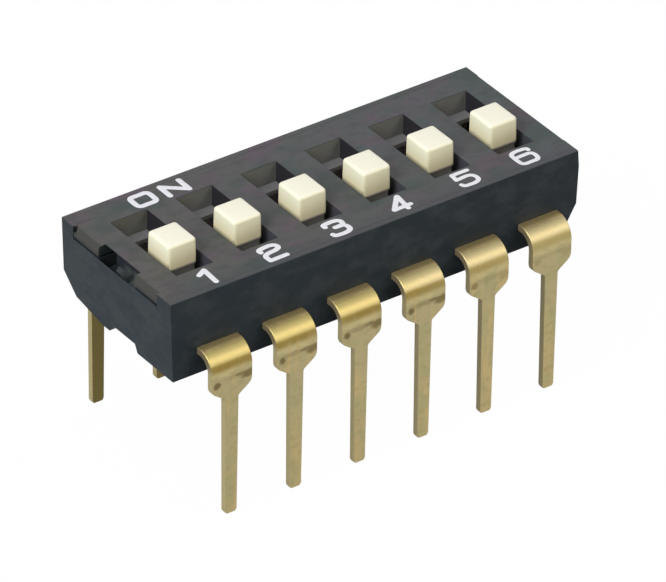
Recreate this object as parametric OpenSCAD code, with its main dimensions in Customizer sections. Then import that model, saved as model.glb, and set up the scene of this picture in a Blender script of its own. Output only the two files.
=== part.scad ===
// Six-way slide DIP switch: moulded tray, cover, six sliding actuators with bridge contacts,
// and twelve bent terminals in two rows.
// X runs along the row of actuators, +Y is the ON side, Z is up and 0 is at the tips of the legs.

/* [Housing] */
// distance from one switch to the next
pitch = 2.54; // [2.1:0.01:3.1]
// thickness of the ribs between the slider channels
rib_t = 0.54; // [0.4:0.01:0.66]
// thickness of the end walls
end_wall = 0.62; // [0.5:0.01:0.8]
// housing width over the long walls
body_w = 6.18; // [5.9:0.01:7.5]
// how far the row of switches sits to the right of the housing's middle
row_shift = 0.09; // [0:0.01:0.12]
// how far each end face leans in from top to bottom
end_draft = 0.1; // [0:0.01:0.12]
// how far the right end leans back in at its top
end_lean = 0.05; // [0:0.01:0.08]
// thickness of the thin rim beside the cover
rim = 0.2; // [0.15:0.01:0.3]
// plastic left under the terminal strips
floor_t = 0.45; // [0.35:0.01:0.6]
// depth of the channel between the two feet
foot_channel_d = 0.3; // [0.2:0.01:0.4]
// width of the channel between the two feet at its roof
foot_channel_w = 1.15; // [0.8:0.01:1.4]
// how far the channel's roof sits toward the front
foot_channel_front = 0.37; // [0.3:0.01:0.45]
// size of the two keyed bottom corners along X
key_x = 0.52; // [0.3:0.01:0.65]
// size of the two keyed bottom corners along Y
key_y = 0.98; // [0.4:0.01:1.1]
// size of the two keyed bottom corners along Z
key_z = 0.9; // [0.5:0.01:1.1]
// length of the shallow cut that follows each keyed corner along Y
toe_y = 2.2; // [1.8:0.01:2.3]
// height of the shallow cut at the corner
toe_z = 0.4; // [0.2:0.01:0.5]

/* [Cover] */
// thickness of the cover plate
cover_t = 0.95; // [0.8:0.01:1.15]
// thickness of the ledges at the bottom of the slots
ledge_t = 0.17; // [0.12:0.01:0.28]
// length of the ledge at each end of a slot
ledge_l = 0.42; // [0.3:0.01:0.5]
// how far the row of slots sits behind the middle
slot_back = 0.06; // [0:0.01:0.12]
// fit between the cover plate and the rim around it
cover_fit = 0.02; // [0.01:0.01:0.04]
// height of the lip at each end of the cover
lip_h = 0.41; // [0.34:0.01:0.5]
// rounding along the left lip's top edge
lip_round = 0.2; // [0.08:0.01:0.25]
// seam between the lip and the end wall
seam = 0.09; // [0.05:0.01:0.11]
// width of the front corner posts
post_front = 0.79; // [0.65:0.01:0.95]
// width of the back corner posts
post_back = 0.64; // [0.53:0.01:0.77]
// size of the notch at the left lip's back corner
lip_notch = 0.24; // [0.1:0.01:0.3]
// depth of that notch
notch_d = 0.24; // [0.1:0.01:0.4]
// width of the latch window in the left lip
window_w = 2.04; // [1.6:0.01:2.45]
// depth of the latch window at the top face
window_d = 0.27; // [0.15:0.01:0.33]
// width of the snap nib in the window
nib_w = 0.26; // [0.2:0.01:0.4]

/* [Actuator] */
// how far the actuators slide
travel = 1.46; // [1.2:0.01:1.8]
// height of the knob above the top face
knob_h = 0.76; // [0.5:0.01:1.2]
// knob width at the top
knob_w = 1.1; // [0.88:0.01:1.34]
// knob length at the top
knob_l = 1.21; // [1.0:0.01:1.5]
// how much wider and longer the knob is at its foot
knob_flare = 0.02; // [0:0.01:0.12]
// how far the knob reaches below the top face
knob_skirt = 0.19; // [0.05:0.01:0.25]
// how far the knob sits to the left of its slot's middle
knob_left = 0.1; // [0:0.01:0.1]
// gap between the knob's foot and each side of its slot, before it is set to the left
knob_gap = 0.155; // [0.14:0.005:0.2]
// gap between the knob and the end of its slot
knob_end_gap = 0.53; // [0.3:0.01:0.6]
// how far the knob overhangs its stem at the front and the back
stem_step = 0.12; // [0.1:0.01:0.2]
// thickness of the guide plate
plate_t = 0.5; // [0.4:0.01:0.6]
// width of the skids under the guide plate
skid_w = 0.3; // [0.2:0.01:0.36]
// sliding clearance on each side
slide_gap = 0.05; // [0.03:0.01:0.07]
// gap between the guide plate and the end of its channel
stop_gap = 0.09; // [0.07:0.01:0.12]

/* [Terminals] */
// from the housing wall to the middle of the legs
leg_out = 0.72; // [0.6:0.01:0.87]
// thickness of the terminal strip
strip_t = 0.25; // [0.2:0.01:0.3]
// inner radius of the bend
bend_r = 0.44; // [0.1:0.01:0.5]
// width of the shoulder
shoulder_w = 1.58; // [1.2:0.01:1.9]
// how far the shoulder reaches under the feet
shoulder_drop = 0.46; // [0.1:0.01:0.6]
// height of the sloping part between shoulder and leg
taper_h = 0.24; // [0.2:0.01:0.5]
// width of the leg under the shoulder
leg_w = 0.53; // [0.48:0.01:0.64]
// width of the leg near its tip
tip_w = 0.46; // [0.34:0.01:0.47]
// how far the legs reach under the feet
leg_l = 5.24; // [3.0:0.01:6.3]
// width of the pad inside the housing
pad_w = 1.2; // [1.0:0.01:1.45]
// gap between the two pads of one switch
pad_gap = 0.5; // [0.4:0.01:0.6]

/* [Contact] */
// thickness of the contact spring
spring_t = 0.1; // [0.08:0.01:0.12]
// height of the contact from the pads to the guide plate
contact_h = 0.5; // [0.42:0.01:0.6]
// gap between the contact and each skid
spring_gap = 0.15; // [0.08:0.01:0.2]
// width of the split between the spring's two fingers
split_w = 0.2; // [0.12:0.01:0.26]
// distance from the spring's middle to each contact point
reach = 0.8; // [0.7:0.01:0.96]
// diameter of the peg that holds the spring
peg_d = 0.4; // [0.3:0.01:0.48]

/* [Hidden] */
$fn = 48;
eps = 0.02;
switches = 6;

// heights, from the leg tips up
seat_z = leg_l;
strip_z = seat_z + foot_channel_d + floor_t + strip_t;
plate_bot = strip_z + contact_h;
plate_top = plate_bot + plate_t;
shelf_z = plate_top + slide_gap;
top_z = shelf_z + cover_t;
wall_top = top_z - lip_h - seam;
knob_foot = top_z - knob_skirt;

// the actuator, and what it slides in
foot_w = knob_w + knob_flare;
foot_l = knob_l + knob_flare;
stem_w = foot_w - 2 * knob_left - 0.06;
stem_l = foot_l - 2 * stem_step;
slot_w = foot_w + 2 * knob_gap;
slot_l = foot_l + travel + 2 * knob_end_gap;
hole_w = slot_w - 0.1;
hole_l = slot_l - 2 * ledge_l;
chan_w = pitch - rib_t;
plate_w = chan_w - 2 * slide_gap;
plate_l = 2 * reach + 0.7;
chan_l = plate_l + travel + 2 * stop_gap;
off_y = slot_back - travel / 2;
on_y = slot_back + travel / 2;

// the housing's length follows the channels
end_shelf = 0.1;
body_l = (switches - 1) * pitch + chan_w + 2 * (end_shelf + end_wall);
wall_left = end_wall + row_shift;
wall_right = end_wall - row_shift;

// the pads end between the contact points, so only the ON place joins them
front_pad_end = max(off_y + reach, on_y - reach) + 0.24;
back_pad_end = front_pad_end + pad_gap;
leg_face = body_w / 2 + leg_out + strip_t / 2;
bend_ro = bend_r + strip_t;
spring_w = plate_w - 2 * (skid_w + spring_gap);

case_black = [0.13, 0.14, 0.15];
cover_black = [0.2, 0.19, 0.19];
ivory = [0.95, 0.93, 0.84];
gold = [0.83, 0.69, 0.36];
bronze = [0.8, 0.62, 0.35];

function at_x(n) = (n - (switches + 1) / 2) * pitch + row_shift;

// a box given by two opposite corners
module span(a, b) {
  translate([min(a[0], b[0]), min(a[1], b[1]), min(a[2], b[2])])
    cube([abs(b[0] - a[0]), abs(b[1] - a[1]), abs(b[2] - a[2])]);
}

// an outline in the X-Z plane, extruded over a stretch of Y
module along_y(y0, y1) {
  translate([0, y1, 0])
    rotate([90, 0, 0])
      linear_extrude(y1 - y0)
        children();
}

// an outline in the Y-Z plane, extruded over a stretch of X
module along_x(x0, x1) {
  translate([x0, 0, 0])
    rotate([90, 0, 90])
      linear_extrude(x1 - x0)
        children();
}

// ---------------------------------------------------------------- terminals

// side view of a terminal bent down in front: pad, bend and leg in the Y-Z plane
module strip_side(pad_end) {
  bend_y = bend_ro - leg_face;
  bend_z = strip_z - bend_ro;
  translate([bend_y, strip_z - strip_t])
    square([pad_end - bend_y, strip_t]);
  translate([-leg_face, 0])
    square([strip_t, bend_z]);
  intersection() {
    translate([bend_y, bend_z])
      difference() {
        circle(r = bend_ro);
        circle(r = bend_r);
      }
    translate([-leg_face, bend_z])
      square([bend_ro, bend_ro]);
  }
}

// front view of one leg: shoulder, sloping sides and tapering leg in the X-Z plane
module leg_front() {
  low = seat_z - shoulder_drop;
  s = shoulder_w / 2;
  k = leg_w / 2;
  t = tip_w / 2;
  polygon([
    [-s, top_z], [-s, low + 0.27], [-s + 0.02, low + 0.15], [-s + 0.07, low + 0.06], [-s + 0.14, low],
    [-k - 0.06, low - taper_h], [-k, low - taper_h - 0.07],
    [-t, 0.4], [-t, 0.05], [-t + 0.04, 0],
    [t - 0.04, 0], [t, 0.05], [t, 0.4],
    [k, low - taper_h - 0.07], [k + 0.06, low - taper_h],
    [s - 0.14, low], [s - 0.07, low + 0.06], [s - 0.02, low + 0.15], [s, low + 0.27], [s, top_z]]);
}

// one terminal bent down in front: full width outside, narrower with an anchor hole inside the wall
module terminal_shape(pad_end) {
  wall_y = -body_w / 2;
  color(gold)
    intersection() {
      along_x(-shoulder_w, shoulder_w)
        strip_side(pad_end);
      union() {
        along_y(-body_w, wall_y + 0.3)
          leg_front();
        difference() {
          span([-pad_w / 2, wall_y + 0.3 - eps, 0], [pad_w / 2, body_w, top_z]);
          translate([0, wall_y + 0.5, 0])
            cylinder(h = top_z, r = 0.14);
        }
      }
    }
}

module terminal_front(n) {
  translate([at_x(n), 0, 0])
    terminal_shape(front_pad_end);
}

module terminal_back(n) {
  translate([at_x(n), 0, 0])
    rotate([0, 0, 180])
      terminal_shape(-back_pad_end);
}

// ---------------------------------------------------------------- housing

// corner of the tray cut away by a plane that meets its three edges at the given sizes; sx and sy pick it
module corner_cut(sx, sy, cut_x, cut_y, cut_z) {
  nx = sx / cut_x;
  ny = sy / cut_y;
  nz = -1 / cut_z;
  translate([sx * (body_l / 2 - end_draft - cut_x), sy * body_w / 2, seat_z])
    rotate([0, acos(nz / sqrt(nx * nx + ny * ny + nz * nz)), atan2(ny, nx)])
      translate([-3, -3, 0])
        cube([6, 6, 2]);
}

// keyed corner: a steep cut, and a long shallow one after it
module key_cut(sx, sy) {
  corner_cut(sx, sy, key_x, key_y, key_z);
  corner_cut(sx, sy, 2 * key_x, toe_y, toe_z);
}

module housing_base() {
  l = body_l / 2;
  w = body_w / 2;
  c = foot_channel_w / 2;
  color(case_black) difference() {
    union() {
      difference() {
        // outside, with leaning end faces
        along_y(-w, w)
          polygon([[-l, top_z], [-l + end_draft, seat_z], [l - end_draft, seat_z],
                   [l, top_z - 0.6], [l - end_lean, top_z]]);
        // rebate that takes the cover plate
        span([-l + wall_left, -w + rim, shelf_z], [l - wall_right, w - rim, top_z + 1]);
        // cut-outs in the end walls for the cover's lips
        span([-l - 1, -w + post_front, wall_top], [l + 1, w - post_back, top_z + 1]);
        // the left end wall slopes down behind the latch window
        along_y(-window_w / 2, window_w / 2)
          polygon([[-l + 0.02, wall_top], [-l + 0.3, shelf_z], [-l + wall_left + eps, shelf_z],
                   [-l + wall_left + eps, top_z], [-l + 0.02, top_z]]);
      }
      // snap nib in the middle of the window
      along_y(-nib_w / 2, nib_w / 2)
        polygon([[-l + 0.1, shelf_z - 0.1], [-l + 0.1, wall_top + 0.02],
                 [-l + 0.2, wall_top + 0.14], [-l + 0.27, wall_top + 0.14],
                 [-l + 0.36, wall_top + 0.02], [-l + 0.36, shelf_z - 0.1]]);
    }
    // slider channels
    for (n = [1 : switches])
      span([at_x(n) - chan_w / 2, slot_back - chan_l / 2, strip_z],
           [at_x(n) + chan_w / 2, slot_back + chan_l / 2, top_z]);
    // channel between the feet, with drafted walls
    translate([0, -foot_channel_front, 0])
      along_x(-body_l, body_l)
        polygon([[-c - 0.6, seat_z - 1], [-c - 0.14, seat_z], [-c, seat_z + foot_channel_d],
                 [c, seat_z + foot_channel_d], [c + 0.3, seat_z], [c + 1.3, seat_z - 1]]);
    // keyed corners
    key_cut(-1, 1);
    key_cut(1, -1);
    // the strips are moulded in
    for (n = [1 : switches]) {
      terminal_front(n);
      terminal_back(n);
    }
  }
}

// ---------------------------------------------------------------- cover

// one stepped slot: wide above, shorter and narrower below, with a ledge at each end
module cover_slot(n) {
  translate([at_x(n), slot_back, 0]) {
    span([-slot_w / 2, -slot_l / 2, shelf_z + ledge_t], [slot_w / 2, slot_l / 2, top_z + 1]);
    span([-hole_w / 2, -hole_l / 2, shelf_z - 1], [hole_w / 2, hole_l / 2, top_z]);
  }
}

// end view of the two lips and the bridge between them, in the X-Z plane, with the left lip rounded
module lip_side() {
  left = -body_l / 2 + cover_fit;
  right = body_l / 2 - cover_fit;
  low = top_z - lip_h;
  r = lip_round;
  translate([left + r, top_z - r])
    circle(r = r);
  translate([left, low])
    square([2 * r, lip_h - r]);
  polygon([[left + r, low], [left + r, top_z], [right - end_lean, top_z], [right, low]]);
}

module housing_cover() {
  l = body_l / 2;
  w = body_w / 2;
  plate_y = w - rim - cover_fit;
  lip_front = -w + post_front + cover_fit;
  lip_back = w - post_back - cover_fit;
  wall = wall_left - 0.04;
  color(cover_black) difference() {
    union() {
      span([-l + wall_left + cover_fit, -plate_y, shelf_z], [l - wall_right - cover_fit, plate_y, top_z]);
      along_y(lip_front, lip_back)
        lip_side();
    }
    for (n = [1 : switches])
      cover_slot(n);
    // latch window, undercut below the top face
    along_y(-window_w / 2, window_w / 2)
      polygon([[-l - 1, shelf_z - 1], [-l + wall, shelf_z - 1], [-l + wall, top_z - wall + window_d],
               [-l + window_d, top_z], [-l + window_d, top_z + 1], [-l - 1, top_z + 1]]);
    // notch beside the back corner post
    translate([-l + cover_fit, lip_back, top_z - notch_d])
      rotate([0, 0, 45])
        translate([-lip_notch / 2, -lip_notch / 2, 0])
          cube([lip_notch, lip_notch, 1]);
  }
}

// ---------------------------------------------------------------- actuators

// one side of the knob: straight foot, sloping sides and a chamfered top
module knob_side(foot, top) {
  z1 = top_z + knob_h;
  polygon([[-foot / 2, knob_foot], [-foot / 2, top_z], [-top / 2, z1 - 0.08], [-top / 2 + 0.08, z1],
           [top / 2 - 0.08, z1], [top / 2, z1 - 0.08], [foot / 2, top_z], [foot / 2, knob_foot]]);
}

// knob with sloping sides and rounded upright edges
module knob() {
  r = 0.1;
  intersection() {
    along_y(-foot_l, foot_l)
      knob_side(foot_w, knob_w);
    along_x(-foot_w, foot_w)
      knob_side(foot_l, knob_l);
    translate([0, 0, knob_foot - 1])
      linear_extrude(top_z + knob_h - knob_foot + 2)
        union() {
          square([foot_w - 2 * r, foot_l], center = true);
          square([foot_w, foot_l - 2 * r], center = true);
          for (x = [-1, 1])
            for (y = [-1, 1])
              translate([x * (foot_w / 2 - r), y * (foot_l / 2 - r)])
                circle(r = r);
        }
  }
}

// one-piece actuator: knob, stem, guide plate, two skids and the peg for its contact
module slider(n) {
  translate([at_x(n), off_y, 0])
    color(ivory) {
      translate([-knob_left, 0, 0])
        knob();
      span([-stem_w / 2, -stem_l / 2, plate_top - eps], [stem_w / 2, stem_l / 2, knob_foot + eps]);
      span([-plate_w / 2, -plate_l / 2, plate_bot], [plate_w / 2, plate_l / 2, plate_top]);
      for (s = [-1, 1])
        span([s * plate_w / 2, -plate_l / 2, strip_z + slide_gap],
             [s * (plate_w / 2 - skid_w), plate_l / 2, plate_bot + eps]);
      translate([0, 0, plate_bot - spring_t - eps])
        cylinder(h = spring_t + 2 * eps, d = peg_d);
      translate([0, 0, plate_bot - spring_t - 0.1])
        cylinder(h = 0.1, d = peg_d + 0.24);
    }
}

// bridge contact: flat middle on the peg, and two fingers with a rounded contact point toward each end
module contact(n) {
  t = spring_t;
  q = reach;
  low = -contact_h;
  translate([at_x(n), off_y, plate_bot])
    color(bronze) difference() {
      for (s = [0, 180])
        rotate([0, 0, s])
          along_x(-spring_w / 2, spring_w / 2)
            polygon([[0, 0], [q - 0.46, 0], [q - 0.1, low + 0.21], [q, low + 0.16], [q + 0.1, low + 0.21],
                     [q + 0.22, low + 0.33], [q + 0.29, low + 0.26], [q + 0.13, low + 0.08],
                     [q + 0.06, low + 0.02], [q, low], [q - 0.06, low + 0.02], [q - 0.14, low + 0.08],
                     [q - 0.5, -t], [0, -t]]);
      translate([0, 0, -1])
        cylinder(h = 2, d = peg_d);
      for (s = [-1, 1])
        span([-split_w / 2, s * (q - 0.42), -2], [split_w / 2, s * (q + 1), 1]);
    }
}

module slider_1() { slider(1); }
module slider_2() { slider(2); }
module slider_3() { slider(3); }
module slider_4() { slider(4); }
module slider_5() { slider(5); }
module slider_6() { slider(6); }
module contact_1() { contact(1); }
module contact_2() { contact(2); }
module contact_3() { contact(3); }
module contact_4() { contact(4); }
module contact_5() { contact(5); }
module contact_6() { contact(6); }
module terminal_front_1() { terminal_front(1); }
module terminal_front_2() { terminal_front(2); }
module terminal_front_3() { terminal_front(3); }
module terminal_front_4() { terminal_front(4); }
module terminal_front_5() { terminal_front(5); }
module terminal_front_6() { terminal_front(6); }
module terminal_back_1() { terminal_back(1); }
module terminal_back_2() { terminal_back(2); }
module terminal_back_3() { terminal_back(3); }
module terminal_back_4() { terminal_back(4); }
module terminal_back_5() { terminal_back(5); }
module terminal_back_6() { terminal_back(6); }

housing_base();
housing_cover();
slider_1();
slider_2();
slider_3();
slider_4();
slider_5();
slider_6();
contact_1();
contact_2();
contact_3();
contact_4();
contact_5();
contact_6();
terminal_front_1();
terminal_front_2();
terminal_front_3();
terminal_front_4();
terminal_front_5();
terminal_front_6();
terminal_back_1();
terminal_back_2();
terminal_back_3();
terminal_back_4();
terminal_back_5();
terminal_back_6();
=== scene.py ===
"""Looks of a six-way slide DIP switch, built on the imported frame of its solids.

The housing, its cover and the bridge contacts keep their solids and get finishes. The sliding actuators,
the bent terminals and the printed legend are modelled here, each as its own piece. Lengths are in
millimetres, unless a name ends with _m.
"""

import logging
import math
from dataclasses import dataclass
from enum import Enum
from functools import cached_property
from typing import Callable, Optional, Sequence, Union

import bmesh
import bpy
from mathutils import Matrix, Vector


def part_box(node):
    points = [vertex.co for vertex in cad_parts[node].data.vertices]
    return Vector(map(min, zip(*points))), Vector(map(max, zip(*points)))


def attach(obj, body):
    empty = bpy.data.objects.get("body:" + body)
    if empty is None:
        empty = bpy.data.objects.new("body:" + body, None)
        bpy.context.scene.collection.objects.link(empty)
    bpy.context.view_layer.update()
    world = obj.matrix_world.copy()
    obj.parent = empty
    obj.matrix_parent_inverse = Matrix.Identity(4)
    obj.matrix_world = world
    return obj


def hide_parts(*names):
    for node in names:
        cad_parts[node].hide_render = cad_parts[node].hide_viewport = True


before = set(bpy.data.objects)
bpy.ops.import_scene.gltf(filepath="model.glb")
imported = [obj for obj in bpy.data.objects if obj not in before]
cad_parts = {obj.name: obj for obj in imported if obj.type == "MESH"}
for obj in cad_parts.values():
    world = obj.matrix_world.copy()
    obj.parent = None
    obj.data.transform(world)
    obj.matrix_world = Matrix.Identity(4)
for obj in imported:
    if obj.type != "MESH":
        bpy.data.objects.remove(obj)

log = logging.getLogger("dip_switch")

MM = 0.001
SWITCHES = range(1, 7)
PITCH = 2.54
Number = Union[int, float]
Colour = tuple[float, float, float]
Point = tuple[float, float]
Triple = tuple[float, float, float]
Span = tuple[float, float]
WHITE: Colour = (1.0, 1.0, 1.0)


def corners(node: str) -> tuple[Vector, Vector]:
    """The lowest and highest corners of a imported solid."""
    low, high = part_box(node)
    return Vector(low) / MM, Vector(high) / MM


def centre_x(number: int) -> float:
    """Middle of a switch along the row."""
    low, high = corners(f"contact_{number}")
    return (low.x + high.x) / 2


TOP_Z = corners("housing_cover")[1].z
CASE_HIGH = corners("housing_base")[1]


def linear(red: Number, green: Number, blue: Number) -> Colour:
    """Turns a display colour of 0 to 255 into the linear colour that a shader takes.

    Args:
        red, green, blue: The display colour's values.

    Returns:
        The three linear values.
    """

    def one(value: Number) -> float:
        """Turns one display value into a linear one."""
        share = value / 255
        return share / 12.92 if share <= 0.04045 else ((share + 0.055) / 1.055) ** 2.4

    return one(red), one(green), one(blue)


# ---- shader tools


class Wire:
    """A shader socket that can be used in sums, products and comparisons."""

    def __init__(self, graph: "Graph", socket: bpy.types.NodeSocket) -> None:
        """Keeps the graph that the socket belongs to."""
        self.graph = graph
        self.socket = socket

    def math(self, operation: str, *others: "Wire | Number") -> "Wire":
        """Adds a Math node whose first value is this socket.

        Args:
            operation: The Math node's operation.
            others: Its other values.

        Returns:
            The node's result.
        """
        values = dict(enumerate((self, *others)))
        return self.graph.node("ShaderNodeMath", {"operation": operation}, values)

    def __add__(self, other: "Wire | Number") -> "Wire":
        """This plus another value."""
        return self.math("ADD", other)

    def __sub__(self, other: "Wire | Number") -> "Wire":
        """This less another value."""
        return self.math("SUBTRACT", other)

    def __rsub__(self, other: Number) -> "Wire":
        """A number less this."""
        return self.graph.node("ShaderNodeMath", {"operation": "SUBTRACT"}, {0: other, 1: self})

    def __mul__(self, other: "Wire | Number") -> "Wire":
        """This times another value."""
        return self.math("MULTIPLY", other)

    def __truediv__(self, other: "Wire | Number") -> "Wire":
        """This divided by another value."""
        return self.math("DIVIDE", other)

    def __gt__(self, other: "Wire | Number") -> "Wire":
        """1 where this is greater."""
        return self.math("GREATER_THAN", other)

    def __lt__(self, other: "Wire | Number") -> "Wire":
        """1 where this is less."""
        return self.math("LESS_THAN", other)

    def __or__(self, other: "Wire") -> "Wire":
        """The greater of two masks."""
        return self.math("MAXIMUM", other)

    def __abs__(self) -> "Wire":
        """This without its sign."""
        return self.math("ABSOLUTE")

    def ramp(self, low: float, high: float) -> "Wire":
        """Rises smoothly as this goes from low to high, or falls where low is the greater.

        Args:
            low: The value at which the result is 0.
            high: The value at which it is 1.

        Returns:
            The result, which stays between 0 and 1.
        """
        rising = low < high
        settings = {"interpolation_type": "SMOOTHSTEP"}
        values = {"Value": self, "From Min": min(low, high), "From Max": max(low, high)}
        values.update({"To Min": 0.0 if rising else 1.0, "To Max": 1.0 if rising else 0.0})
        return self.graph.node("ShaderNodeMapRange", settings, values)


@dataclass(frozen=True)
class Noise:
    """Soft noise: its waves per millimetre, its detail and roughness, and how its place is stretched."""

    scale: float
    detail: float = 3.0
    rough: float = 0.55
    stretch: Optional[Triple] = None
    move: Triple = (0.0, 0.0, 0.0)


@dataclass(frozen=True)
class Layer:
    """A colour laid over another: it sets in as a noise rises from start to full, and covers a share."""

    noise: Noise
    colour: Colour
    start: float
    full: float
    cover: float


class Graph:
    """The nodes of one material or world."""

    def __init__(self, owner: Union[bpy.types.Material, bpy.types.World]) -> None:
        """Clears the owner's nodes.

        Args:
            owner: The material or world that the nodes belong to.
        """
        owner.use_nodes = True
        owner.node_tree.nodes.clear()
        self.owner = owner
        self.noises: dict[Noise, Wire] = {}

    def node(
        self,
        kind: str,
        settings: Optional[dict] = None,
        values: Optional[dict] = None,
        out: Union[int, str] = 0,
    ) -> Wire:
        """Adds any node.

        Args:
            kind: The node's type.
            settings: Its settings, set first.
            values: Numbers, colours or wires for its inputs, by name or by place.
            out: Which output is wanted.

        Returns:
            That output, or the first input of a node that has none.
        """
        tree = self.owner.node_tree
        made = tree.nodes.new(kind)
        for name, value in (settings or {}).items():
            setattr(made, name, value)
        for place, value in (values or {}).items():
            target = made.inputs[place]
            if isinstance(value, Wire):
                tree.links.new(value.socket, target)
            elif isinstance(value, tuple) and target.type == "RGBA":
                target.default_value = (*value, 1.0)
            else:
                target.default_value = value
        return Wire(self, made.outputs[out] if len(made.outputs) else made.inputs[0])

    @cached_property
    def place(self) -> Wire:
        """Object coordinates in millimetres."""
        at = self.node("ShaderNodeTexCoord", out="Object")
        return self.node("ShaderNodeVectorMath", {"operation": "SCALE"}, {0: at, "Scale": 1 / MM})

    def axis(self, name: str) -> Wire:
        """One coordinate of the place: X, Y or Z."""
        return self.node("ShaderNodeSeparateXYZ", values={0: self.place}, out=name)

    def depth(self, start: float, full: float) -> Wire:
        """Rises from 0 to 1 from one depth below the cover's face to another."""
        return self.axis("Z").ramp(TOP_Z - start, TOP_Z - full)

    def facing(self, name: str) -> Wire:
        """One coordinate of the surface's own direction: X, Y or Z."""
        normal = self.node("ShaderNodeNewGeometry", out="True Normal")
        return self.node("ShaderNodeSeparateXYZ", values={0: normal}, out=name)

    def faces(self, name: str, sign: int = 1) -> Wire:
        """1 on the surfaces that face along an axis, or against it where the sign is -1."""
        return self.facing(name).ramp(sign * 0.4, sign * 0.6)

    def noise(self, kind: Noise) -> Wire:
        """A noise between 0 and 1, made once for each kind.

        Args:
            kind: Its waves, detail and stretch.

        Returns:
            The noise's value.
        """
        if kind not in self.noises:
            at = self.place
            if kind.stretch is not None:
                moved = {0: at, "Location": kind.move, "Scale": kind.stretch}
                at = self.node("ShaderNodeMapping", values=moved)
            values = {"Vector": at, "Scale": kind.scale, "Detail": kind.detail, "Roughness": kind.rough}
            self.noises[kind] = self.node("ShaderNodeTexNoise", values=values)
        return self.noises[kind]

    def mix(self, share: "Wire | Number", first: "Wire | Colour", second: "Wire | Colour") -> Wire:
        """A colour between two colours."""
        settings = {"data_type": "RGBA", "clamp_factor": True}
        return self.node("ShaderNodeMix", settings, {0: share, 6: first, 7: second}, out=2)

    def lay(self, base: "Wire | Colour", layer: Layer, where: Optional[Wire] = None) -> Wire:
        """Lays a layer over a base colour.

        Args:
            base: The colour below.
            layer: The colour on top and the noise that it follows.
            where: A mask for it, or None to lay it all over.

        Returns:
            The colour of both.
        """
        share = self.noise(layer.noise).ramp(layer.start, layer.full)
        if where is not None:
            share = share * where
        return self.mix(share * layer.cover, base, layer.colour)

    def bump(self, height: Wire, depth: float, normal: Optional[Wire] = None) -> Wire:
        """Turns a height into a normal.

        Args:
            height: The height, from 0 to 1.
            depth: How deep a height of 1 is.
            normal: The normal to start from, or None for the surface's own.

        Returns:
            The new normal.
        """
        values = {"Height": height, "Distance": depth * MM, "Strength": 1.0}
        if normal is not None:
            values["Normal"] = normal
        return self.node("ShaderNodeBump", values=values)

    def rounded(self, radius: float, where: Wire) -> Wire:
        """Rounds the edges of a piece in its normal alone.

        Args:
            radius: The radius of the rounding.
            where: A mask that is 1 where edges are rounded.

        Returns:
            The normal.
        """
        plain = self.node("ShaderNodeNewGeometry", out="Normal")
        soft = self.node("ShaderNodeBevel", {"samples": 6}, {"Radius": radius * MM})
        return self.node("ShaderNodeMix", {"data_type": "VECTOR"}, {0: where, 4: plain, 5: soft}, out=1)

    def in_view(self) -> Wire:
        """Tells rays that show a surface or the sky from those that only light something.

        Returns:
            1 for rays that show something, 0 for the others.
        """
        kinds = ("Camera", "Glossy", "Transmission")
        seen, gloss, clear = (self.node("ShaderNodeLightPath", out=f"Is {kind} Ray") for kind in kinds)
        return (seen + gloss + clear).math("MINIMUM", 1.0)

    def surface(self, **values: "Wire | Number | Colour") -> bpy.types.Material:
        """Finishes the material with one Principled shader.

        Args:
            values: Its inputs, with words joined by an underscore.

        Returns:
            The material.
        """
        named = {name.replace("_", " "): value for name, value in values.items()}
        shader = self.node("ShaderNodeBsdfPrincipled", values=named)
        self.node("ShaderNodeOutputMaterial", values={"Surface": shader})
        return self.owner


# ---- finishes


class Moulding(Enum):
    """The two dark mouldings of the housing."""

    CASE = "case"
    COVER = "cover"


DRIFT: Triple = (1.0, 1.7, 1.0)


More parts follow.
